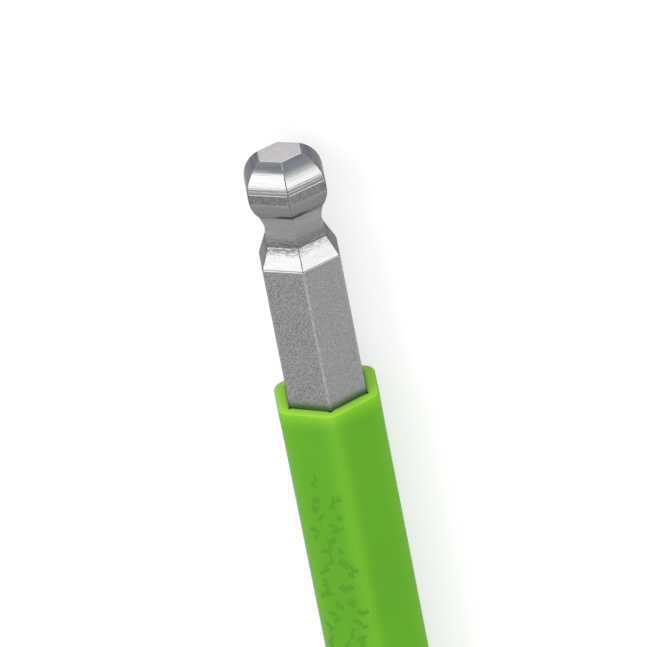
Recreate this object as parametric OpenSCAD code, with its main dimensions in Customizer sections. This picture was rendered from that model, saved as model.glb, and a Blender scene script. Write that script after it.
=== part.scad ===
// Ball-end hexagon key with a moulded sleeve over its long arm and its bend.
// The key lies flat: both arms are in one level plane, the long arm runs along X
// with its ball at the +X end, and the short arm runs towards +Y.

/* [Bar] */
// Distance across the flats of the hexagon bar
key_af = 8; // [6:0.5:12]
// Radius of the bar's long corners
corner_r = 0.4; // [0.2:0.05:0.8]
// Length of the long arm, from the outside of the short arm to the ball's tip
long_len = 208; // [120:1:300]
// Length of the short arm, from the outside of the long arm to its end
short_len = 44; // [38:1:80]
// Radius of the bend, along the middle of the bar
bend_r = 12; // [10:0.5:17]
// Bevel round the end of the short arm, measured inwards from the bar's corners
end_bevel = 0.9; // [0.3:0.1:1.6]
// Angle between that bevel and the end face
end_bevel_angle = 30; // [15:5:60]

/* [Ball end] */
// Radius of the ball's curve, seen from the side
ball_r = 4.1; // [3.9:0.05:6]
// How far that curve would stand out past the flats, which trim it to a band
ball_proud = 0.035; // [0.01:0.005:0.1]
// Depth of the tip face's edges below the flats
tip_depth = 1.85; // [1.2:0.05:2.2]
// Depth below the flats of the crease where the ball ends and the neck starts
crease_depth = 0.72; // [0.6:0.02:0.9]
// Depth of the neck below the flats at its thinnest
neck_depth = 1.15; // [1:0.05:1.5]
// Radius of the neck's hollow, seen from the side
neck_r = 5.2; // [4:0.1:9]
// Depth below the flats where the neck ends and the straight ramp starts
ramp_depth = 0.93; // [0.7:0.01:0.98]
// Length of the ramp along the bar
ramp_len = 2.2; // [1:0.1:3]

/* [Sleeve] */
// Wall of the sleeve over the flats of the bar
sleeve_wall = 1.2; // [0.8:0.05:2.5]
// Radius of the sleeve's long corners
sleeve_corner_r = 2.1; // [1:0.1:2.8]
// Rounding of the sleeve's two rims
rim_r = 0.4; // [0.2:0.05:0.7]
// Bare steel from the ball's tip to the sleeve
ball_bare = 27.5; // [20:0.5:80]
// Bare steel from the sleeve to the end of the short arm
short_bare = 15; // [8:0.5:17]
// Clearance between the bar and the sleeve on each side
fit_gap = 0.02; // [0.01:0.01:0.1]

/* [Hidden] */
$fn = 96;

// Curves that would only touch a flat stand this far past it, so that they cross it
graze = 0.001;

// Distance from the middle of such a hexagon to the centre of a corner's circle
function corner_at(af, r) = (af / 2 - r + graze) / cos(30);

// Half the width over the corners
function half_corners(af, r) = corner_at(af, r) + r;

// The sleeve's bore takes the bar's outline, one clearance larger all round
bore_af = key_af + 2 * fit_gap;
bore_corner_r = corner_r + fit_gap;
sleeve_af = bore_af + 2 * sleeve_wall;

// Straight lengths of steel and of sleeve on each arm, from the bend outwards
bar_out = half_corners(key_af, corner_r);
sleeve_out = half_corners(sleeve_af, sleeve_corner_r);
long_straight = long_len - bar_out - bend_r;
short_straight = short_len - bar_out - bend_r;
sleeve_long = long_straight - ball_bare;
sleeve_short = short_straight - short_bare;

// Centre of the bend, which puts the middle of the whole key over the origin
bend_x = (bend_r + sleeve_out - long_straight) / 2;
bend_y = (bend_r + sleeve_out - short_straight) / 2;
axis_z = sleeve_af / 2 + graze;

// The ball end, as half widths over the flats and distances back from the tip;
// the ball's curve is centred a little past the bar's axis
ball_offset = ball_r - key_af / 2 - ball_proud;
tip_h = key_af / 2 - tip_depth;
crease_h = key_af / 2 - crease_depth;
neck_h = key_af / 2 - neck_depth;
ramp_h = key_af / 2 - ramp_depth;
ball_x = sqrt(ball_r ^ 2 - (tip_h + ball_offset) ^ 2);
crease_x = ball_x + sqrt(ball_r ^ 2 - (crease_h + ball_offset) ^ 2);
neck_x = crease_x + sqrt(neck_r ^ 2 - (neck_r + neck_h - crease_h) ^ 2);
ramp_x = neck_x + sqrt(neck_r ^ 2 - (neck_r + neck_h - ramp_h) ^ 2);

// Overlap of the ball end's stretches, and how far a cut runs past its piece
lap = 0.3;
over = 1;

// Hexagon with rounded corners, its flats facing +Y and -Y
module rounded_hex(af, r) {
    flat_w = 2 * (af / 2 - r) * tan(30);
    for (turn = [0:60:120]) rotate(turn) square([flat_w, af], center = true);
    for (turn = [0:60:300]) rotate(turn) translate([corner_at(af, r), 0]) circle(r);
}

// Upright block that rounds the top rim of whatever hexagon is intersected with it:
// three slabs, each a plate with two round edges over one pair of flats
module rounded_rim(af, rim, len) {
    half_w = af / 2 + graze;
    top = len + graze;
    intersection_for (turn = [0:60:120]) rotate([90, 0, 90 + turn]) linear_extrude(4 * af, center = true) {
        translate([-half_w, -over]) square([2 * half_w, over + top - rim]);
        translate([rim - half_w, -over]) square([2 * (half_w - rim), over + top]);
        for (side = [-1, 1]) translate([side * (half_w - rim), top - rim]) circle(rim);
    }
}

// Frame with its origin at the centre of the bend
module at_bend() {
    translate([bend_x, bend_y, axis_z]) children();
}

// Lays an upright shape along the long arm, from the bend towards the ball
module on_long_arm() {
    translate([0, -bend_r, 0]) rotate([90, 0, 90]) children();
}

// Lays an upright shape along the short arm, from the bend towards its end
module on_short_arm() {
    translate([-bend_r, 0, 0]) rotate([90, 0, 180]) children();
}

// Sweeps an outline through the quarter turn between the two arms
module round_the_bend() {
    rotate(180) rotate_extrude(angle = 90) translate([bend_r, 0]) children();
}

// Cuts a side outline alike over each pair of flats; the outline's x is measured
// back from the ball's tip
module over_all_flats() {
    translate([long_straight, -bend_r, 0]) mirror([1, 0, 0]) intersection() {
        rotate([90, 0, 0]) linear_extrude(4 * key_af, center = true) children();
        rotate([150, 0, 0]) linear_extrude(4 * key_af, center = true) children();
        rotate([210, 0, 0]) linear_extrude(4 * key_af, center = true) children();
    }
}

// Side outline of the ball and the neck: the ball's two curves, trimmed by the flats
// and the tip face, run into a neck that is hollow on both sides
module ball_and_neck_outline() {
    intersection() {
        translate([ball_x, ball_offset]) circle(ball_r);
        translate([ball_x, -ball_offset]) circle(ball_r);
        translate([0, -key_af / 2]) square([crease_x + lap, key_af]);
    }
    difference() {
        translate([crease_x - lap, -key_af / 2])
            square([ramp_x - crease_x + 2 * lap, key_af]);
        for (side = [-1, 1]) translate([neck_x, side * (neck_h + neck_r)]) circle(neck_r);
    }
}

// Side outline of the ramp, which opens out past the bar and follows it to the bend
module ramp_outline() {
    slope = ramp_depth / ramp_len;
    wide_x = ramp_x + ramp_len + over;
    half = [
        [ramp_x - lap, ramp_h - lap * slope],
        [wide_x, key_af / 2 + over * slope],
        [long_straight + over, key_af / 2 + over * slope]
    ];
    polygon(concat(half, [for (i = [2:-1:0]) [half[i][0], -half[i][1]]]));
}

// Plain bar for the long arm, from the bend towards the ball
module long_stock(len) {
    on_long_arm() linear_extrude(len) rounded_hex(key_af, corner_r);
}

// The straight of the long arm, with the ball, neck and ramp cut on its end
module long_arm() {
    intersection() {
        over_all_flats() ball_and_neck_outline();
        long_stock(long_straight + over);
    }
    intersection() {
        over_all_flats() ramp_outline();
        long_stock(long_straight);
    }
}

// The straight of the short arm, its end bevelled by a shallow cone
module short_arm() {
    face_r = bar_out - end_bevel;
    wide_r = bar_out + over;
    on_short_arm() intersection() {
        linear_extrude(short_straight) rounded_hex(key_af, corner_r);
        rotate_extrude() polygon([
            [0, -over], [wide_r, -over],
            [wide_r, short_straight - (wide_r - face_r) * tan(end_bevel_angle)],
            [face_r, short_straight], [0, short_straight]
        ]);
    }
}

// One bar of steel, bent once
module key() {
    color("silver") at_bend() {
        long_arm();
        round_the_bend() rounded_hex(key_af, corner_r);
        short_arm();
    }
}

// Section of the sleeve's wall
module sleeve_ring() {
    difference() {
        rounded_hex(sleeve_af, sleeve_corner_r);
        rounded_hex(bore_af, bore_corner_r);
    }
}

// One straight of the sleeve, ending in its rounded rim
module sleeve_arm(len) {
    intersection() {
        linear_extrude(len) sleeve_ring();
        rounded_rim(sleeve_af, rim_r, len);
    }
}

// One moulding, a hexagon tube that follows the bar round its bend
module sleeve() {
    color("yellowgreen") at_bend() {
        on_long_arm() sleeve_arm(sleeve_long);
        round_the_bend() sleeve_ring();
        on_short_arm() sleeve_arm(sleeve_short);
    }
}

key();
sleeve();
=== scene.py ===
"""Looks for the ball-end hexagon key: a fine steel bar and its moulded sleeve, the floor,
the lamps and the camera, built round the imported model."""

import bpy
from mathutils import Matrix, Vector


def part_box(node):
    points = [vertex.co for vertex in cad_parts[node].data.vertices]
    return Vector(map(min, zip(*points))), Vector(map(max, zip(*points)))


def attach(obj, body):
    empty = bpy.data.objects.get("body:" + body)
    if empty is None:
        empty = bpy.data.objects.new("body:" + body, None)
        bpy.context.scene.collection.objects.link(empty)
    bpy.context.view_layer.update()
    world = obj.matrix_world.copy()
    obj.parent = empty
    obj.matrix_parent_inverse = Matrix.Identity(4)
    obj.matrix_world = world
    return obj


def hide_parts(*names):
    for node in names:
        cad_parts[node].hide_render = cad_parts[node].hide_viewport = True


bl_info = {
    "name": "Ball-end hexagon key",
    "version": (1, 0, 0),
    "blender": (4, 5, 0),
    "location": "View3D > Sidebar > Hex key",
    "description": "Builds a steel hexagon key with a ball end and a moulded sleeve",
    "category": "Add Mesh",
}

import bpy
import numpy as np
from mathutils import Matrix, Vector

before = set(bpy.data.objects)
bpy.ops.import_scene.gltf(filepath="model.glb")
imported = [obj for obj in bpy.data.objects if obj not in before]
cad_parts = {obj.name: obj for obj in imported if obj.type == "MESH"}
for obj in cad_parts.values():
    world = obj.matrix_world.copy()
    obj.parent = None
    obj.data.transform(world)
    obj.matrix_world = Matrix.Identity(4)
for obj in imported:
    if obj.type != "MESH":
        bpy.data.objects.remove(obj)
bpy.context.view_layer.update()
KEY_LOW, KEY_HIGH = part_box("key")
SLEEVE_LOW, SLEEVE_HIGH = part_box("sleeve")

# A millimetre in metres, and the millimetres in a metre, for patterns worked out in them
MM = 0.001
PER_METRE = 1000.0

# Angle between two corners of a hexagon
SIXTH = np.pi / 3
COS30 = float(np.cos(np.pi / 6))
TAN30 = np.tan(np.pi / 6)

# Slack for comparing angles
TINY = 1e-6

# Edges with a sharper bend than this are shaded as edges
SHARP_ANGLE = np.radians(26)


def length(name, description, millimetres):
    """A size in metres that shows as a distance; its default is given in millimetres."""
    return bpy.props.FloatProperty(
        name=name,
        description=description,
        default=millimetres * MM,
        precision=5,
        subtype="DISTANCE",
        unit="LENGTH",
    )


def tint(name, description, colour):
    """A colour of a finish, in linear values."""
    return bpy.props.FloatVectorProperty(
        name=name,
        description=description,
        default=colour,
        size=3,
        min=0,
        max=1,
        subtype="COLOR",
    )


def amount(name, description, value):
    """A plain number of a finish or a lamp."""
    return bpy.props.FloatProperty(name=name, description=description, default=value)


class KeySizes(bpy.types.PropertyGroup):
    """Sizes of the steel bar and its ball end."""

    across_flats: length("Across flats", "Width of the bar over its flats", 8)
    corner: length("Corner radius", "Radius of the bar's long corners", 0.4)
    bend: length("Bend radius", "Radius of the bend along the middle of the bar", 12)
    end_bevel: length("End bevel", "Bevel of the short arm, inwards from the corners", 0.9)
    end_angle: bpy.props.FloatProperty(
        name="End bevel angle",
        description="Angle between that bevel and the end face",
        default=np.radians(30),
        subtype="ANGLE",
    )
    ball: length("Ball radius", "Radius of the ball's curve, seen from the side", 4.1)
    ball_proud: length("Ball proud", "How far that curve would pass the flats", 0.035)
    tip_depth: length("Tip depth", "Depth of the tip face's edges below the flats", 1.85)
    crease_depth: length("Crease depth", "Depth where the ball runs into the neck", 0.72)
    neck_depth: length("Neck depth", "Depth of the neck at its thinnest", 1.15)
    neck: length("Neck radius", "Radius of the neck's hollow, seen from the side", 5.2)
    ramp_depth: length("Ramp depth", "Depth where the neck runs into the ramp", 0.93)
    ramp: length("Ramp length", "Length of the ramp along the bar", 2.2)
    meridian: length("Meridian radius", "Rounding of the edges between cut facets", 0.06)
    tip_round: length("Tip rounding", "Rounding of the tip face's edges", 0.05)
    score: length("Score depth", "Depth of the fine scores where one cut meets the next", 0.03)
    score_width: length("Score width", "Half the width of those scores", 0.055)


class SleeveSizes(bpy.types.PropertyGroup):
    """Sizes of the moulded sleeve."""

    wall: length("Wall", "Thickness over the bar's flats", 1.2)
    fit_gap: length("Fit gap", "Clearance between bar and sleeve", 0.02)
    corner: length("Corner radius", "Radius of the sleeve's long corners", 2.1)
    mouth_corner: length("Mouth corner radius", "Radius of the long corners at the mouth", 1.3)
    rim: length("Rim radius", "Rounding of the two rims", 0.4)
    flare: length("Mouth flare", "How far the mouth stands wider than the sleeve", 0.04)
    flare_length: length("Flare length", "How far the flare reaches", 2.6)
    lean: bpy.props.FloatProperty(
        name="Mouth lean",
        description="How far the mouth's face leans back, its lower side standing further out",
        default=np.radians(3.1),
        subtype="ANGLE",
    )
    mouth_gap: length("Mouth gap", "Extra clearance at the mouth of the bore", 0.04)
    notch: length("Notch depth", "Depth of the small slots at the bore's corners", 0.19)
    fleck_start: length("Fleck start", "Plain face between the rim and the flecks", 7.7)
    fleck_end: length("Fleck end", "Where the flecks end, from the rim", 46)
    fleck_depth: length("Fleck depth", "Depth of the flecks in the upper face", 0.03)


class Finishes(bpy.types.PropertyGroup):
    """Colours and roughness of the steel and the plastic, and the colours of the light and shade
    painted on them.
    """

    bar: tint("Bar", "Satin steel of the bar", (0.322, 0.322, 0.331))
    bar_edge: tint("Bar corners", "Steel worn bright on the long corners", (0.385, 0.385, 0.395))
    cut: tint("Cut steel", "Steel of the ball, the neck and the ramp", (0.355, 0.355, 0.358))
    tip: tint("Tip face", "Ground steel of the tip face", (0.64, 0.62, 0.625))
    # Painted dark reflection, bluish, on the facets next to the tip
    painted_tip_reflection: tint("Tip tint", "Bluish tint of the facets next to the tip", (0.235, 0.245, 0.272))
    # Painted shade along the ridges between the bright facets
    painted_ridge_shade: tint("Ridge shade", "Edges between the bright facets", (0.055, 0.055, 0.058))
    # Painted green reflection of the sleeve and painted shade on the steel at the mouth
    painted_mouth_reflection: tint("Steel at the mouth", "Steel shaded by the sleeve", (0.065, 0.13, 0.03))
    plastic: tint("Plastic", "Sleeve in the middle of its faces", (0.105, 0.379, 0.006))
    # Painted light along the sleeve's corners
    painted_corner_light: tint("Plastic corners", "Sleeve along its corners", (0.131, 0.420, 0.008))
    # Painted light on the sleeve's mouth, where it is lit through
    painted_rim_light: tint("Plastic rim", "Sleeve at its mouth, lit through", (0.385, 0.80, 0.043))
    plastic_fleck: tint("Plastic flecks", "Bottom of the flecks", (0.088, 0.315, 0.005))
    bar_rough: amount("Bar roughness", "Roughness of the satin bar", 0.38)
    cut_rough: amount("Cut roughness", "Roughness of the cut steel", 0.17)
    plastic_rough: amount("Plastic roughness", "Roughness of the sleeve", 0.46)


class StageSettings(bpy.types.PropertyGroup):
    """Floor, lamps and camera."""

    floor: tint("Floor", "Colour of the floor", (0.37, 0.37, 0.37))
    floor_lift: amount("Floor lift", "White added to the floor as it is seen", 0.67)
    sky: amount("Surrounding light", "Strength of the even light all round", 0.85)
    lamp: amount("Lamp strength", "Brightness of the softbox high over the ball", 2.0)
    side_lamp: amount("Side lamp strength", "Brightness of the softbox low beside the ball", 2.9)
    top_lamp: amount("Top lamp strength", "Brightness of the softbox over the sleeve", 1.2)
    end_lamp: amount("End lamp strength", "Brightness of the softbox past the ball", 1.2)
    floor_reach: length("Floor reach", "Half the width of the floor", 3000)
    lens: amount("Lens", "Focal length of the camera in millimetres", 463.5)


class HexKeySettings(bpy.types.PropertyGroup):
    """Everything that the operators read."""

    key: bpy.props.PointerProperty(type=KeySizes)
    sleeve: bpy.props.PointerProperty(type=SleeveSizes)
    finish: bpy.props.PointerProperty(type=Finishes)
    stage: bpy.props.PointerProperty(type=StageSettings)


def hexagon(turn, half_flat, corner):
    """Distance from the middle to the outline of a hexagon with rounded corners.

    Over a flat it is the half width over the cosine of the angle from the flat's normal.
    Near a corner it is the far crossing with the corner's circle: the circle's centre lies
    on the corner's direction at (half width - radius) / cos 30, and the crossing is that
    distance times the cosine of the angle from it, plus the root of radius squared less the
    square of that distance times the sine.
    """
    off_flat = np.abs(turn % SIXTH - SIXTH / 2)
    off_corner = SIXTH / 2 - off_flat
    centre = (half_flat - corner) / COS30
    under = np.maximum(corner**2 - (centre * np.sin(off_corner)) ** 2, 0)
    at_corner = centre * np.cos(off_corner) + np.sqrt(under)
    on_flat = np.tan(off_flat) * half_flat <= (half_flat - corner) * TAN30
    return np.where(on_flat, half_flat / np.cos(off_flat), at_corner)


def angle_from_corner(turn):
    """Angle between each direction and the nearest corner of the hexagon."""
    return SIXTH / 2 - np.abs(turn % SIXTH - SIXTH / 2)


def turns(steps):
    """Angles round the bar for six like sixths: steps, in degrees from a corner, run up to
    the middle of the flat and are mirrored from there to the next corner."""
    one = np.concatenate([steps, 60 - steps[-2:0:-1]])
    return np.radians((one + 60 * np.arange(6)[:, None]).ravel())


def smooth(low, high, value):
    """0 below low, 1 above high, and 3q^2 - 2q^3 in between, q being the share of the way."""
    share = np.clip((value - low) / (high - low), 0, 1)
    return share * share * (3 - 2 * share)


class BarPath:
    """Middle line of the bar from the ball's tip: straight along -X to the bend, a quarter
    turn round the bend's centre, then straight along +Y. Distances run along it."""

    def __init__(self, key, sleeve):
        half_sleeve = key.across_flats / 2 + sleeve.fit_gap + sleeve.wall
        sleeve_out = float(hexagon(0.0, half_sleeve, sleeve.corner))
        self.bend = key.bend
        self.centre = np.array([
            SLEEVE_LOW.x + sleeve_out + key.bend,
            SLEEVE_LOW.y + sleeve_out + key.bend,
            (SLEEVE_LOW.z + SLEEVE_HIGH.z) / 2,
        ])
        self.tip_x = KEY_HIGH.x
        self.long = self.tip_x - self.centre[0]
        self.quarter = key.bend * np.pi / 2
        self.short_end = self.long + self.quarter + KEY_HIGH.y - self.centre[1]
        self.mouth = self.tip_x - SLEEVE_HIGH.x
        self.sleeve_end = self.long + self.quarter + SLEEVE_HIGH.y - self.centre[1]
        self.sleeve_out = sleeve_out
        self.lean = float(np.tan(sleeve.lean))

    def frame(self, along):
        """Points of the line and the level directions away from the bend's inside."""
        angle = np.clip((along - self.long) / self.bend, 0, np.pi / 2)
        before = np.maximum(self.long - along, 0)
        after = np.maximum(along - self.long - self.quarter, 0)
        out = np.stack([-np.sin(angle), -np.cos(angle), np.zeros_like(angle)], axis=-1)
        point = self.centre + self.bend * out
        point[..., 0] += before
        point[..., 1] += after
        return point, out

    def mouth_lean(self, out, up):
        """How much further out the mouth's face stands at a place out and up from the bar's
        middle: nothing at the corner 60 degrees up, and elsewhere the distance back from that
        corner times the slope of the face."""
        return (self.sleeve_out - out * 0.5 - up * COS30) * self.lean

    def sweep(self, along, turn, radius):
        """Surface of a tube: at each distance along the line, points at the given radius in
        the direction cos(turn) outwards + sin(turn) up."""
        point, out = self.frame(along)
        up = np.array([0.0, 0.0, 1.0])
        ray = np.cos(turn)[None, :, None] * out[:, None, :] + np.sin(turn)[None, :, None] * up
        return point[:, None, :] + radius[:, :, None] * ray


def ring_faces(rows, columns, wrap_rows):
    """Quads between neighbouring rows and columns of a grid whose columns close on
    themselves, and whose rows do too when wrap_rows is set."""
    index = np.arange(rows * columns).reshape(rows, columns)
    below = np.roll(index, -1, axis=0) if wrap_rows else index[1:]
    above = index if wrap_rows else index[:-1]
    above_next, below_next = np.roll(above, -1, axis=1), np.roll(below, -1, axis=1)
    return np.stack([above, above_next, below_next, below], axis=-1).reshape(-1, 4)


def surface(name, points, wrap_rows, marks, material):
    """Object of a grid of points: quads between rows and columns, and where the rows don't
    close on themselves a fan to the middle of the first and the last row. marks are numbers
    on the grid that the material reads."""
    rows, columns = points.shape[:2]
    count = rows * columns
    vertices = points.reshape(-1, 3)
    faces = ring_faces(rows, columns, wrap_rows).tolist()
    if not wrap_rows:
        vertices = np.concatenate([vertices, points[0].mean(0)[None], points[-1].mean(0)[None]])
        first, last = np.arange(columns), np.arange(columns) + count - columns
        start = np.stack([np.roll(first, -1), first, np.full(columns, count)], axis=-1)
        end = np.stack([last, np.roll(last, -1), np.full(columns, count + 1)], axis=-1)
        faces += start.tolist() + end.tolist()
    mesh = bpy.data.meshes.new(name)
    mesh.from_pydata(vertices.tolist(), [], faces)
    for mark, values in marks.items():
        full = np.zeros(len(vertices), np.float32)
        full[:count] = values.ravel()
        layer = mesh.attributes.new(mark, "FLOAT", "POINT")
        layer.data.foreach_set("value", full)
    mesh.shade_smooth()
    mesh.set_sharp_from_angle(angle=SHARP_ANGLE)
    mesh.materials.append(material)
    mesh.validate()
    piece = bpy.data.objects.new(name, mesh)
    bpy.context.scene.collection.objects.link(piece)
    return piece


class BallEnd:
    """Half width over the flats along the ball end, worked out from its sizes."""

    def __init__(self, key):
        self.key = key
        self.flat = key.across_flats / 2
        self.offset = key.ball - self.flat - key.ball_proud
        tip, crease, neck, ramp = (
            self.flat - depth
            for depth in (key.tip_depth, key.crease_depth, key.neck_depth, key.ramp_depth)
        )
        self.tip, self.thin, self.foot = tip, neck, ramp
        self.ball_at = np.sqrt(key.ball**2 - (tip + self.offset) ** 2)
        self.crease_at = self.ball_at + np.sqrt(key.ball**2 - (crease + self.offset) ** 2)
        reach = key.neck + neck
        self.neck_at = self.crease_at + np.sqrt(key.neck**2 - (reach - crease) ** 2)
        self.ramp_at = self.neck_at + np.sqrt(key.neck**2 - (reach - ramp) ** 2)
        self.shoulder_at = self.ramp_at + key.ramp
        band = np.sqrt(key.ball**2 - (self.flat + self.offset) ** 2)
        self.band = (self.ball_at - band, self.ball_at + band)
        self.scores = (
            (self.band[0] - 0.42 * MM, 0.25),
            (self.band[0] - 0.06 * MM, 0.8),
            (self.band[1] + 0.04 * MM, 0.4),
            (self.crease_at, 2.2),
            (self.ramp_at - 0.1 * MM, 0.6),
            (self.shoulder_at - 0.07 * MM, 1.0),
        )

    def half_width(self, back):
        """The ball is a circle's height less its offset, cut off at the flats; the neck is
        its depth plus the drop of a circle that hangs over it; the ramp is a straight rise.
        Each score takes off its share of the score depth times e to the minus square of the
        distance from it over the score width."""
        key = self.key
        ball = np.sqrt(np.maximum(key.ball**2 - (back - self.ball_at) ** 2, 0)) - self.offset
        hang = np.sqrt(np.maximum(key.neck**2 - (back - self.neck_at) ** 2, 0))
        neck = self.thin + key.neck - hang
        ramp = self.foot + (back - self.ramp_at) * key.ramp_depth / key.ramp
        part = [back <= self.crease_at, back <= self.ramp_at]
        half = np.minimum(np.select(part, [ball, neck], ramp), self.flat)
        for at, share in self.scores:
            half = half - key.score * share * np.exp(-((back - at) / key.score_width) ** 2)
        return half

    def stations(self):
        """Distances back from the tip at which the surface has a row: even steps between the
        places where one form meets the next, and closer ones at each score."""
        widest, least = 0.09 * MM, 0.008 * MM
        start = 1.2 * self.key.tip_round
        meets = [start, *self.band, self.crease_at, self.ramp_at, self.shoulder_at]
        spans = [
            np.linspace(low, high, max(2, int(np.ceil((high - low) / widest))), endpoint=False)
            for low, high in zip(meets[:-1], meets[1:])
        ]
        spans.append(np.array([self.shoulder_at, self.shoulder_at + 0.03 * MM]))
        near = np.array([-0.12, -0.07, -0.035, 0, 0.035, 0.07, 0.12]) * MM
        close = (np.array([at for at, _ in self.scores])[:, None] + near).ravel()
        every = np.unique(np.concatenate([*spans, close[close < self.shoulder_at]]))
        return every[np.append(np.diff(every) > least, True)]


# Degrees from a corner to the middle of a flat at which the bar's outline has a point
KEY_STEPS = np.array([
    0, 0.12, 0.24, 0.38, 0.52, 0.85, 1.2, 1.6, 2.05, 2.54, 2.8, 6, 10, 15, 20, 25, 30,
])


def build_key(key, path, material):
    """The bar with its ball end, neck, ramp, bend and bevelled short end, as rows of
    outlines along the path. An outline is the smaller of the cut hexagon and the bar's own
    rounded hexagon; on the short end it is also cut by the bevel's cone. Both end faces are
    rings that shrink to their middle."""
    end = BallEnd(key)
    turn = turns(KEY_STEPS)
    bar = hexagon(turn[None, :], end.flat, key.corner)

    def cut(half):
        return np.minimum(hexagon(turn[None, :], half[:, None], key.meridian), bar)

    tip = cut(np.array([end.tip - key.tip_round]))
    shares = np.array([0.02, 0.3, 0.6, 0.85, 1])[:, None]
    face_rows, face_at = shares * tip, np.zeros(len(shares))
    lean = np.radians([30, 60])
    round_at = key.tip_round * (1 - np.cos(lean))
    round_rows = cut(end.tip - key.tip_round * (1 - np.sin(lean)))
    ball_at = end.stations()
    ball_rows = cut(end.half_width(ball_at))

    bevel_out = float(hexagon(0.0, end.flat, key.corner)) - key.end_bevel
    slope = 1 / np.tan(key.end_angle)
    before_end = np.array([0.56, 0.48, 0.4, 0.32, 0.25, 0.2, 0.15, 0.1, 0.05, 0]) * MM
    bend_end = path.long + path.quarter
    plain_end = path.short_end - before_end[0]
    plain_at = np.concatenate([
        np.linspace(end.shoulder_at + 0.4 * MM, path.long, 60),
        path.long + np.linspace(0, path.quarter, 49)[1:],
        np.linspace(bend_end + 0.5 * MM, plain_end - 0.3 * MM, 14),
    ])
    plain_rows = np.repeat(bar, len(plain_at), axis=0)
    bevel_rows = np.minimum(bar, bevel_out + before_end[:, None] * slope)
    close_rows = bevel_rows[-1] * shares[-2::-1]
    along = np.concatenate([
        face_at, round_at, ball_at, plain_at, path.short_end - before_end,
        np.full(len(close_rows), path.short_end),
    ])
    radius = np.concatenate([
        face_rows, round_rows, ball_rows, plain_rows, bevel_rows, close_rows,
    ])

    off_corner = angle_from_corner(turn)
    near = 1 - smooth(np.radians(1.2), np.radians(2.7), off_corner)
    # Crest of each ridge between cut facets, where the material paints highlight and shade
    crest = 1 - smooth(np.radians(0.45), np.radians(0.95), off_corner)
    on_bar = smooth(-0.002 * MM, -0.0002 * MM, radius - bar)
    facet = np.floor(turn / SIXTH + TINY)
    marks = {
        "worn": near[None, :] * on_bar,
        "ridge": crest[None, :] * (1 - on_bar),
        "uncut": on_bar,
        "facet": np.repeat(facet[None, :], len(along), axis=0),
    }
    return surface("hex_bar", path.sweep(along, turn, radius), False, marks, material)


# Seed of the flecks' random draws, their spacing along the face, and how far from the
# face's middle they reach
FLECK_SEED = 29
FLECK_PITCH = 0.5 * MM
FLECK_HALF_WIDTH = 2.35 * MM


def fleck_strokes(start, finish):
    """Short strokes strewn over the upper face: the two end points and the half width of
    each. Every fleck is three strokes at random angles, the second from the first one's end
    and the third from its start. Flecks stand in slots along the face, each moved about in
    its slot, on either side of the middle in turn, and thin out at both ends."""
    draw = np.random.default_rng(FLECK_SEED)
    slots = np.arange(start, finish, FLECK_PITCH)
    way = (slots - start) / (finish - start)
    keep = draw.random(len(slots)) < 0.35 + 0.65 * smooth(0, 0.12, way)
    keep &= draw.random(len(slots)) < 1.2 - smooth(0.85, 1, way)
    slots = slots[keep]
    side = np.where(np.arange(len(slots)) % 2 == 0, -1, 1)
    across = side * draw.uniform(0.05, 0.92, len(slots)) * FLECK_HALF_WIDTH
    middle = np.stack([slots + draw.uniform(-0.3, 0.3, len(slots)) * MM, across], axis=-1)
    heading = draw.uniform(0, 2 * np.pi, (3, len(slots)))
    reach = draw.uniform([[0.3], [0.2], [0.1]], [[0.85], [0.7], [0.6]], (3, len(slots))) * MM
    ray = np.stack([np.cos(heading), np.sin(heading)], axis=-1) * reach[..., None]
    first_end = middle + ray[0]
    starts = np.concatenate([middle, first_end, middle])
    ends = np.concatenate([first_end, first_end + ray[1], middle + ray[2]])
    width = draw.uniform(0.13, 0.27, len(starts)) * MM
    return starts, ends, width


def fleck_mask(along, across, strokes):
    """How deep each point lies in a fleck, from 0 to 1: its distance to the nearest stroke,
    less the stroke's half width, run through a soft step."""
    depth = np.zeros(np.broadcast(along, across).shape)
    for start, end, width in zip(*strokes):
        run = end - start
        length_squared = max(float(run @ run), 1e-12)
        share = ((along - start[0]) * run[0] + (across - start[1]) * run[1]) / length_squared
        share = np.clip(share, 0, 1)
        reached = start + share[..., None] * run
        distance = np.hypot(along - reached[..., 0], across - reached[..., 1])
        depth = np.maximum(depth, 1 - smooth(width * 0.65, width * 1.35, distance))
    return depth


# Such degrees for the sleeve's outline, and finer ones for the face that has the flecks
SLEEVE_STEPS = np.array([
    0, 1, 2.2, 3.4, 4.6, 5.8, 7, 8.2, 9.6, 10.96, 13, 16, 19, 22, 25, 28, 30,
])
FLECK_STEPS = np.linspace(0, 30, 24)


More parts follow.
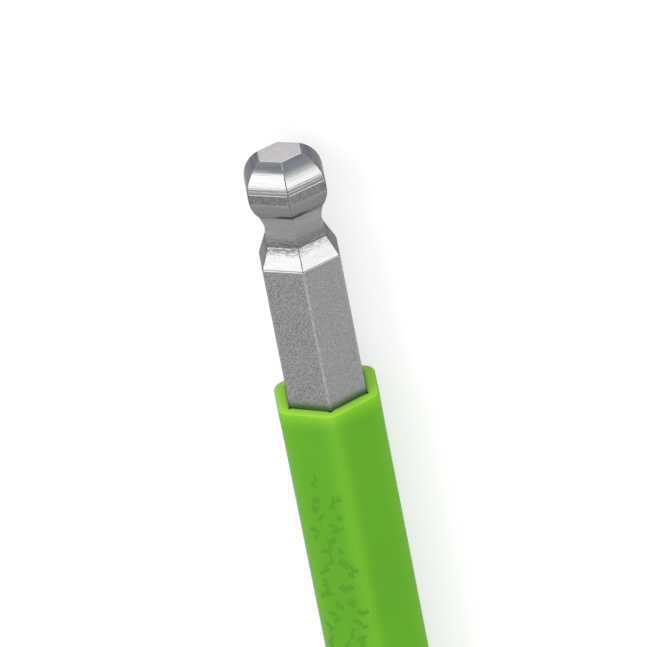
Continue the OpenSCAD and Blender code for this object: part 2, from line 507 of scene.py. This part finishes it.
def build_sleeve(key, sleeve, path, material):
    """The sleeve as one closed tube of rows: out over the mouth's face, along the outside to
    the short end, in over that face and back through the bore. The outside is a rounded
    hexagon; at a rim it is drawn in by radius - root(radius^2 - (radius - distance)^2).
    Near the mouth it is a little wider and its corners are tighter, both in proportion to e
    to the minus (distance over flare length)^1.5, and its points are moved along the bar so
    that the mouth's face leans."""
    plain, fine = turns(SLEEVE_STEPS), turns(FLECK_STEPS)
    upper = (fine > SIXTH - TINY) & (fine < 2 * SIXTH - TINY)
    others = (plain < SIXTH - TINY) | (plain > 2 * SIXTH - TINY)
    turn = np.sort(np.concatenate([plain[others], fine[upper]]))
    bore_half = key.across_flats / 2 + sleeve.fit_gap
    half = bore_half + sleeve.wall
    bore_corner = key.corner + sleeve.fit_gap

    rim_lean = np.radians(np.arange(0, 91, 11.25))
    rim_at = sleeve.rim * (1 - np.sin(rim_lean[::-1]))
    near = np.concatenate([np.sort(rim_at)[1:], np.linspace(0.6, 7.2, 24) * MM])
    band = np.arange(sleeve.fleck_start - 0.4 * MM, sleeve.fleck_end + 0.6 * MM, 0.15 * MM)
    straight = path.long - path.mouth
    far = np.linspace(sleeve.fleck_end + 2 * MM, straight, 36)
    bend_at = straight + np.linspace(0, path.quarter, 49)[1:]
    total = path.sleeve_end - path.mouth
    before_end = np.concatenate([np.linspace(0.6, 3, 6)[::-1] * MM, np.sort(rim_at)[:0:-1]])
    last = total - before_end
    from_mouth = np.concatenate([[0], near, band, far, bend_at, last, [total]])

    to_rim = np.minimum(from_mouth, total - from_mouth)[:, None]
    into_rim = np.maximum(sleeve.rim - to_rim, 0)
    drawn = sleeve.rim - np.sqrt(np.maximum(sleeve.rim**2 - into_rim**2, 0))
    near_mouth = np.exp(-((from_mouth[:, None] / sleeve.flare_length) ** 1.5))
    off_floor = smooth(-0.75, -0.2, np.sin(turn))[None, :]
    flare = sleeve.flare * near_mouth * off_floor
    corner = sleeve.corner - (sleeve.corner - sleeve.mouth_corner) * near_mouth
    outside = hexagon(turn[None, :], half + flare - drawn, corner - drawn)

    across = outside * np.cos(turn)[None, :]
    strokes = fleck_strokes(sleeve.fleck_start + 0.5 * MM, sleeve.fleck_end)
    on_top = ((turn > SIXTH) & (turn < 2 * SIXTH))[None, :] & (from_mouth[:, None] < straight)
    fleck = fleck_mask(from_mouth[:, None], across, strokes) * on_top
    outside = outside - fleck * sleeve.fleck_depth

    off_corner = angle_from_corner(turn)
    to_front = np.cos(turn - SIXTH)
    slot = sleeve.notch * np.exp(-((off_corner / np.radians(2.6)) ** 4))
    slot = slot * smooth(-0.6, 0.2, to_front)

    def bore(inward):
        """The bore at a distance inside a mouth: the bar's outline, wider at the mouth by the
        mouth's gap, and slotted at the corners towards the upper outer one."""
        gap = sleeve.mouth_gap * np.exp(-inward / (0.5 * MM))
        slotted = slot[None, :] * (1 - smooth(0.12 * MM, 0.55 * MM, inward))
        return hexagon(turn[None, :], bore_half + gap, bore_corner) + slotted

    shares = np.linspace(0, 1, 7)[:, None]
    rim_bore = bore(np.zeros((1, 1)))
    mouth_face = rim_bore + (outside[:1] - rim_bore) * shares[:-1]
    end_face = outside[-1:] + (rim_bore - outside[-1:]) * shares[1:]
    deep = np.array([0.15, 0.3, 0.5, 0.6, 0.7, 0.8, 0.9, 1.2, 2, 4]) * MM
    bore_at = np.concatenate([
        total - deep,
        np.linspace(total - 6 * MM, straight + path.quarter, 4),
        straight + np.linspace(path.quarter, 0, 33)[1:],
        np.linspace(straight - 4 * MM, 6 * MM, 12),
        deep[::-1],
    ])
    bore_rows = bore(np.minimum(bore_at, total - bore_at)[:, None])
    along = path.mouth + np.concatenate([
        np.zeros(len(mouth_face)), from_mouth, np.full(len(end_face), total), bore_at,
    ])
    radius = np.concatenate([mouth_face, outside, end_face, bore_rows])

    # Share of the painted light along the corners: full at a corner, none from 17 degrees off it
    corner_light_share = 1 - smooth(np.radians(2), np.radians(17), off_corner)
    every = np.ones_like(radius)
    # Share of the painted shade on the mouth's face: full at the bore, none at the outside
    bore_shade_share = np.zeros_like(radius)
    bore_shade_share[:len(mouth_face)] = 1 - shares[:-1]
    marks = {
        "corner_light_share": every * corner_light_share,
        "bore_shade_share": bore_shade_share,
        "depth": every * (along[:, None] - path.mouth) / MM,
        "fleck": np.concatenate([
            np.zeros_like(mouth_face), fleck, np.zeros_like(end_face), np.zeros_like(bore_rows),
        ]),
    }
    points = path.sweep(along, turn, radius)
    lean_end = 7 * MM
    share = 1 - smooth(0, lean_end, along - path.mouth)
    lean = path.mouth_lean(radius * np.cos(turn), radius * np.sin(turn))
    points[..., 0] += share[:, None] * lean
    return surface("hex_sleeve", points, True, marks, material)


class Wire:
    """A shader socket that can be used in a sum: each operation adds its Math node."""

    def __init__(self, graph, socket):
        self.graph = graph
        self.socket = socket

    def _with(self, operation, first, second):
        return self.graph.node("ShaderNodeMath", {"operation": operation}, {0: first, 1: second})

    def __add__(self, other):
        return self._with("ADD", self, other)

    def __radd__(self, other):
        return self._with("ADD", other, self)

    def __sub__(self, other):
        return self._with("SUBTRACT", self, other)

    def __rsub__(self, other):
        return self._with("SUBTRACT", other, self)

    def __mul__(self, other):
        return self._with("MULTIPLY", self, other)

    def __rmul__(self, other):
        return self._with("MULTIPLY", other, self)


class Graph:
    """The nodes of one material."""

    def __init__(self, name):
        self.material = bpy.data.materials.new(name)
        self.material.use_nodes = True
        self.tree = self.material.node_tree
        self.shader = self.tree.nodes["Principled BSDF"]

    def node(self, kind, settings=None, inputs=None, out=0):
        """Adds a node: its settings first, then the values or links of its sockets."""
        made = self.tree.nodes.new(kind)
        for name, value in (settings or {}).items():
            setattr(made, name, value)
        for name, value in (inputs or {}).items():
            self.feed(made.inputs[name], value)
        return Wire(self, made.outputs[out])

    def feed(self, socket, value):
        """Links a wire to a socket, or sets the socket's own value."""
        if isinstance(value, Wire):
            self.tree.links.new(value.socket, socket)
        elif socket.type == "RGBA" and len(value) == 3:
            socket.default_value = (*value, 1)
        else:
            socket.default_value = value

    def give(self, **inputs):
        """Sets or links sockets of the material's shader; an underscore stands for a space."""
        for name, value in inputs.items():
            self.feed(self.shader.inputs[name.replace("_", " ")], value)

    def place(self):
        """Object coordinates as a vector."""
        return self.node("ShaderNodeTexCoord", out="Object")

    def parts(self, vector):
        """The three numbers of a vector."""
        split = self.node("ShaderNodeSeparateXYZ", inputs={0: vector}).socket.node
        return [Wire(self, socket) for socket in split.outputs]

    def mark(self, name):
        """A number stored on the mesh."""
        return self.node("ShaderNodeAttribute", {"attribute_name": name}, out="Fac")

    def step(self, value, low, high):
        """0 below low, 1 above high, with a smooth way between; low may be the larger."""
        return self.node(
            "ShaderNodeMapRange",
            {"interpolation_type": "SMOOTHSTEP"},
            {"Value": value, "From Min": low, "From Max": high},
        )

    def between(self, value, rise, fall):
        """Grows from 0 to 1 over the first pair of values and falls back over the second."""
        return self.step(value, *rise) * self.step(value, fall[1], fall[0])

    def mix(self, share, first, second, blend="MIX"):
        """Mixes two colours."""
        made = self.tree.nodes.new("ShaderNodeMix")
        made.data_type = "RGBA"
        made.blend_type = blend
        for index, value in ((0, share), (6, first), (7, second)):
            self.feed(made.inputs[index], value)
        return Wire(self, made.outputs[2])

    def grey(self, value):
        """A number as a grey colour."""
        return self.node("ShaderNodeCombineColor", inputs={0: value, 1: value, 2: value})

    def shade(self, colour, tone):
        """A colour times a number."""
        return self.mix(1.0, colour, self.grey(tone), "MULTIPLY")

    def vector(self, x, y, z):
        """Three numbers as a vector."""
        return self.node("ShaderNodeCombineXYZ", inputs={0: x, 1: y, 2: z})

    def noise(self, vector, scale, detail, rough):
        """Even noise between 0 and 1."""
        return self.node(
            "ShaderNodeTexNoise",
            inputs={"Vector": vector, "Scale": scale, "Detail": detail, "Roughness": rough},
        )

    def bump(self, height, depth):
        """Normal of a small relief whose height runs from 0 to 1 over the given depth."""
        inputs = {"Strength": 1.0, "Distance": depth, "Height": height}
        return self.node("ShaderNodeBump", inputs=inputs)


def steel_material(finish, path, end):
    """Satin steel with a fine pitted grain, and on the ball end bright cut facets with fine
    lines across them, torn marks where the neck runs into the ramp and a plainly ground tip
    face. Painted into the colour are a bluish dark reflection next to the tip, shade in the
    crease and at the low end of the neck, highlight and shade along the ridges, shade on the
    faces that look out and up, and a green reflection of the sleeve with shade at the mouth.
    Distances along the bar are in millimetres."""
    graph = Graph("satin_steel")
    place = graph.place()
    x, y, z = graph.parts(place)
    back = (path.tip_x - x) * PER_METRE
    band_end, crease_at, neck_at, ramp_at = (
        at / MM for at in (end.band[1], end.crease_at, end.neck_at, end.ramp_at)
    )
    uncut = graph.mark("uncut")
    worn = graph.mark("worn")
    facet = graph.mark("facet")
    ridge = graph.mark("ridge")
    # 0 on the faces that look out and up, 1 on all others
    others = graph.step(facet, 0.4, 0.6)

    grain = graph.noise(place, 6200.0, 2.0, 0.6)
    blotch = graph.noise(place, 1500.0, 2.0, 0.55)
    fine = graph.vector(back * 9.0 + facet * 3.7, y * 230.0, z * 230.0)
    line = graph.noise(fine, 1.0, 3.0, 0.62)
    short = graph.vector(back * 7.0 + facet * 3.7, y * 2100.0, z * 2100.0)
    rag = graph.noise(short, 1.0, 3.0, 0.65)

    on_ball = graph.step(back, 7.0, 5.0)
    bar_tone = 1 + (grain - 0.5) * (others * 1.2 + 1.2) + (blotch - 0.5) * 0.12
    # Darker, blotchy satin steel on the ball; and painted shade: the faces that look out and up a
    # little darker
    bar_tone = bar_tone * (1 - on_ball * (0.52 - blotch * 0.44)) * (others * 0.03 + 0.97)
    bar = graph.mix(worn * (1 - on_ball), finish.bar, finish.bar_edge)
    bar = graph.shade(bar, bar_tone)

    # Painted shade at the low end of the neck's hollow, interrupted by ragged tool lines
    painted_neck_shade = graph.between(back, (neck_at, ramp_at - 0.2), (ramp_at - 0.1, ramp_at + 0.15))
    cut_tone = 0.64 + line * 0.70 - painted_neck_shade * (1.45 - rag * 2.1) * (others * 0.35 + 0.75)
    ramp_top = graph.between(back, (ramp_at - 0.05, ramp_at + 0.05), (ramp_at, ramp_at + 1.2))
    torn = graph.step(rag - ramp_top * 0.14, 0.50, 0.36)
    cut_tone = cut_tone * (1 - torn * ramp_top * (others * 0.3 + 0.4))
    dull = graph.between(back, (band_end, band_end + 0.3), (crease_at - 0.3, crease_at))
    cut_tone = cut_tone * (1 - dull * 0.2)
    # Painted shade in the crease where the ball runs into the neck
    crease = graph.between(back, (crease_at - 0.2, crease_at), (crease_at, crease_at + 0.2))
    cut_tone = cut_tone * (1 - crease * 0.55)
    # Painted shade: the faces that look out and up are a fifth darker
    painted_facet_shade = others * 0.2 + 0.8
    cut = graph.shade(finish.cut, cut_tone * painted_facet_shade)

    # Painted dark reflection, bluish, on the facets next to the tip, with a ragged edge
    edge = 0.80 + (line - 0.5) * 1.1
    tip_reflection_share = graph.step(back, edge + 0.14, edge - 0.12)
    dark = graph.shade(finish.painted_tip_reflection, (0.35 + line * 1.3) * painted_facet_shade)
    cut = graph.mix(tip_reflection_share, cut, dark)

    # Painted highlight and shade along the ridges between facets: light next to the tip, shade
    # further back, interrupted by noise and fainter from the ball's back to the ramp
    painted_ridge_share = ridge * graph.step(graph.noise(place, 2600.0, 1.0, 0.5), 0.30, 0.52)
    mild = graph.between(back, (band_end, band_end + 0.3), (ramp_at - 0.3, ramp_at))
    painted_ridge_share = painted_ridge_share * (1 - mild * 0.75)
    cut = graph.mix(painted_ridge_share, cut, graph.mix(tip_reflection_share, finish.painted_ridge_shade, finish.bar_edge))

    face = graph.step(back, 0.03, 0.012)
    cut = graph.mix(face, cut, graph.shade(finish.tip, 0.86 + blotch * 0.28))
    colour = graph.mix(uncut, cut, bar)

    # Painted green reflection of the sleeve and painted shade on the steel, from about a
    # millimetre outside the mouth to two inside it
    out = float(path.centre[1]) - path.bend - y
    lean = path.mouth_lean(out, z - float(path.centre[2]))
    past_mouth = (path.tip_x - path.mouth - x + lean) * PER_METRE + (blotch - 0.5) * 0.25
    mouth_reflection_share = graph.between(past_mouth, (-0.95, -0.12), (1.0, 2.0)) * 0.8
    colour = graph.mix(mouth_reflection_share, colour, finish.painted_mouth_reflection)

    rough = uncut * (finish.bar_rough - 0.05 + grain * 0.1 + worn * 0.2)
    rough = rough + (1 - uncut) * (finish.cut_rough + (line - 0.5) * 0.16 + face * 0.25)
    height = uncut * grain + (1 - uncut) * (1 - face) * line * 0.6 + face * blotch * 0.3
    graph.give(
        Base_Color=colour,
        Metallic=1.0,
        Roughness=rough,
        Specular_Tint=(0.42, 0.42, 0.44),
        Normal=graph.bump(height, 0.016 * MM),
    )
    return graph.material


def plastic_material(finish):
    """Soft moulded plastic with a very fine mould grain, darker in the flecks. Painted into the
    colour are light along the corners, yellow light on the mouth's face and for a short way
    below it, where the plastic is lit through, and shade on that face next to the bore."""
    graph = Graph("moulded_plastic")
    place = graph.place()
    depth = graph.mark("depth")
    cloud = graph.noise(place, 160.0, 2.0, 0.5)
    grain = graph.noise(place, 4200.0, 2.0, 0.5)
    # Painted light: lighter along the corners
    colour = graph.mix(graph.mark("corner_light_share"), finish.plastic, finish.painted_corner_light)
    # Painted light where the plastic is lit through: the mouth's face, and for 1.9 mm below it
    rim = graph.step(depth, 0.16, 0.0) * 0.64 + graph.step(depth, 1.9, 0.0) * 0.28
    colour = graph.mix(rim, colour, finish.painted_rim_light)
    # Painted shade on the mouth's face next to the bore: the lit-through yellow gives way to the
    # plain plastic
    bore_shade_share = graph.step(graph.mark("bore_shade_share"), 0.45, 1.0) * 0.4
    colour = graph.mix(bore_shade_share, colour, finish.plastic)
    ragged = graph.mark("fleck") + (graph.noise(place, 2300.0, 2.0, 0.6) - 0.5) * 1.1
    colour = graph.mix(graph.step(ragged, 0.30, 0.62), colour, finish.plastic_fleck)
    colour = graph.shade(colour, 0.95 + cloud * 0.07 + grain * 0.03)
    graph.give(
        Base_Color=colour,
        Roughness=finish.plastic_rough - 0.04 + grain * 0.08,
        Normal=graph.bump(grain, 0.0015 * MM),
        Specular_IOR_Level=0.3,
        Subsurface_Weight=0.12,
        Subsurface_Radius=(0.5, 1.0, 0.25),
        Subsurface_Scale=0.7 * MM,
    )
    return graph.material


def floor_material(stage):
    """Plain matt floor that adds white wherever it is seen, straight, in a reflection or
    through something clear, and keeps its shadows, which lie in the light it scatters."""
    graph = Graph("pale_floor")
    seen = graph.node("ShaderNodeLightPath", out="Is Camera Ray")
    for kind in ("Is Glossy Ray", "Is Transmission Ray"):
        ray = graph.node("ShaderNodeLightPath", out=kind)
        seen = graph.node("ShaderNodeMath", {"operation": "MAXIMUM"}, {0: seen, 1: ray})
    graph.give(
        Base_Color=stage.floor,
        Roughness=1.0,
        Specular_IOR_Level=0.0,
        Emission_Color=graph.grey(seen),
        Emission_Strength=stage.floor_lift,
    )
    return graph.material


# Where the camera stands, which way its picture's right and top lie, and what the lamps face
CAMERA_AT = (0.462095, -0.395389, 0.658785)
CAMERA_RIGHT = (-0.17321, -0.89291, -0.41560)
CAMERA_UP = (0.87764, 0.05156, -0.47653)
BALL_AT = (0.100, -0.0169, 0.005)


def softbox(name, toward, along, size, distance, brightness):
    """A rectangular lamp that faces the ball from the direction toward, its long side along
    the given direction. Its power is its brightness times its area times pi."""
    back = Vector(toward).normalized()
    side = Vector(along)
    side = (side - back * side.dot(back)).normalized()
    up = back.cross(side)
    data = bpy.data.lights.new(name, "AREA")
    data.shape = "RECTANGLE"
    data.size, data.size_y = size
    data.energy = brightness * data.size * data.size_y * np.pi
    lamp = bpy.data.objects.new(name, data)
    bpy.context.scene.collection.objects.link(lamp)
    turn = Matrix((side, up, back)).transposed().to_4x4()
    lamp.matrix_world = Matrix.Translation(Vector(BALL_AT) + back * distance) @ turn
    lamp.visible_camera = False


class HEXKEY_OT_key(bpy.types.Operator):
    """Adds the steel bar with its ball end"""

    bl_idname = "hex_key.add_key"
    bl_label = "Steel bar"

    def execute(self, context):
        settings = context.scene.hex_key
        path = BarPath(settings.key, settings.sleeve)
        steel = steel_material(settings.finish, path, BallEnd(settings.key))
        piece = build_key(settings.key, path, steel)
        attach(piece, "root")
        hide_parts("key")
        return {"FINISHED"}


class HEXKEY_OT_sleeve(bpy.types.Operator):
    """Adds the moulded sleeve"""

    bl_idname = "hex_key.add_sleeve"
    bl_label = "Moulded sleeve"

    def execute(self, context):
        settings = context.scene.hex_key
        path = BarPath(settings.key, settings.sleeve)
        plastic = plastic_material(settings.finish)
        piece = build_sleeve(settings.key, settings.sleeve, path, plastic)
        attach(piece, "root")
        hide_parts("sleeve")
        return {"FINISHED"}


class HEXKEY_OT_stage(bpy.types.Operator):
    """Adds the floor, the lamps, the surrounding light and the camera"""

    bl_idname = "hex_key.add_stage"
    bl_label = "Floor, lamps and camera"

    def execute(self, context):
        stage = context.scene.hex_key.stage
        reach = stage.floor_reach
        corners = [(-reach, -reach, 0), (reach, -reach, 0), (reach, reach, 0), (-reach, reach, 0)]
        mesh = bpy.data.meshes.new("floor")
        mesh.from_pydata(corners, [], [(0, 1, 2, 3)])
        mesh.materials.append(floor_material(stage))
        floor = bpy.data.objects.new("floor", mesh)
        context.scene.collection.objects.link(floor)

        wide, near_square = (0.43, 0.28), (0.35, 0.30)
        for name, toward, along, size, distance, brightness in (
            ("upper_softbox", (0.421, 0.447, 0.791), (0.927, 0, -0.375), wide, 0.6, stage.lamp),
            ("side_softbox", (0.421, -0.9, 0.12), (0.927, 0.326, 0), wide, 0.6, stage.side_lamp),
            ("end_softbox", (1, -0.1, 0.3), (0, 1, 0), near_square, 0.6, stage.end_lamp),
            ("top_softbox", (-0.45, -0.45, 0.775), (1, 0, 0), near_square, 0.7, stage.top_lamp),
        ):
            softbox(name, toward, along, size, distance, brightness)

        world = bpy.data.worlds.new("even_light")
        world.use_nodes = True
        sky = world.node_tree.nodes["Background"]
        sky.inputs["Color"].default_value = (1, 1, 1, 1)
        sky.inputs["Strength"].default_value = stage.sky
        context.scene.world = world
        context.scene.view_settings.view_transform = "Standard"

        data = bpy.data.cameras.new("camera")
        data.lens = stage.lens
        data.sensor_width = 36
        data.clip_start, data.clip_end = 0.01, 20
        camera = bpy.data.objects.new("camera", data)
        context.scene.collection.objects.link(camera)
        right, up = Vector(CAMERA_RIGHT).normalized(), Vector(CAMERA_UP).normalized()
        turn = Matrix((right, up, right.cross(up))).transposed().to_4x4()
        camera.matrix_world = Matrix.Translation(CAMERA_AT) @ turn
        context.scene.camera = camera
        return {"FINISHED"}


class HEXKEY_PT_panel(bpy.types.Panel):
    """Lists the pieces, the stage and their settings"""

    bl_label = "Hex key"
    bl_idname = "HEXKEY_PT_panel"
    bl_space_type = "VIEW_3D"
    bl_region_type = "UI"
    bl_category = "Hex key"

    def draw(self, context):
        settings = context.scene.hex_key
        for operator in (HEXKEY_OT_key, HEXKEY_OT_sleeve, HEXKEY_OT_stage):
            self.layout.operator(operator.bl_idname)
        for group in (settings.key, settings.sleeve, settings.finish, settings.stage):
            box = self.layout.box()
            for name in group.__annotations__:
                box.prop(group, name)


CLASSES = (
    KeySizes, SleeveSizes, Finishes, StageSettings, HexKeySettings,
    HEXKEY_OT_key, HEXKEY_OT_sleeve, HEXKEY_OT_stage, HEXKEY_PT_panel,
)


def register():
    for one in CLASSES:
        bpy.utils.register_class(one)
    bpy.types.Scene.hex_key = bpy.props.PointerProperty(type=HexKeySettings)


def unregister():
    del bpy.types.Scene.hex_key
    for one in reversed(CLASSES):
        bpy.utils.unregister_class(one)


def main():
    register()
    bpy.ops.hex_key.add_key()
    bpy.ops.hex_key.add_sleeve()
    bpy.ops.hex_key.add_stage()


if __name__ == "__main__":
    main()
